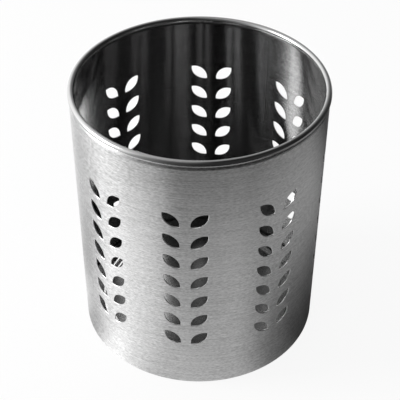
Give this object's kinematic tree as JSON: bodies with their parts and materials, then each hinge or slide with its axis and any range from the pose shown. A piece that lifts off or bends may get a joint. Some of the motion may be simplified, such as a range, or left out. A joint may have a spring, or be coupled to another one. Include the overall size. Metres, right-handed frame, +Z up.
{
  "type": "cutlery holder",
  "caption": "Round upright cutlery holder of brushed sheet steel with a curled rim, columns of leaf-shaped holes and a recessed base with drain holes.",
  "frame": {"origin": "centre of the ring that the holder stands on, in the plane of the table", "axes": "+Z up along the axis of the wall, towards the open rim; the front, as in the picture, is towards -Y"},
  "size_m": [0.12, 0.12, 0.137],
  "materials": {
    "wall_steel": "stainless steel sheet, finely brushed around the wall, with a smoother curled rim",
    "pan_steel": "stainless steel sheet as rolled, smoother than the wall"
  },
  "bodies": {
    "root": {"body_wall": "wall_steel", "base_pan": "pan_steel"}
  },
  "joints": []
}
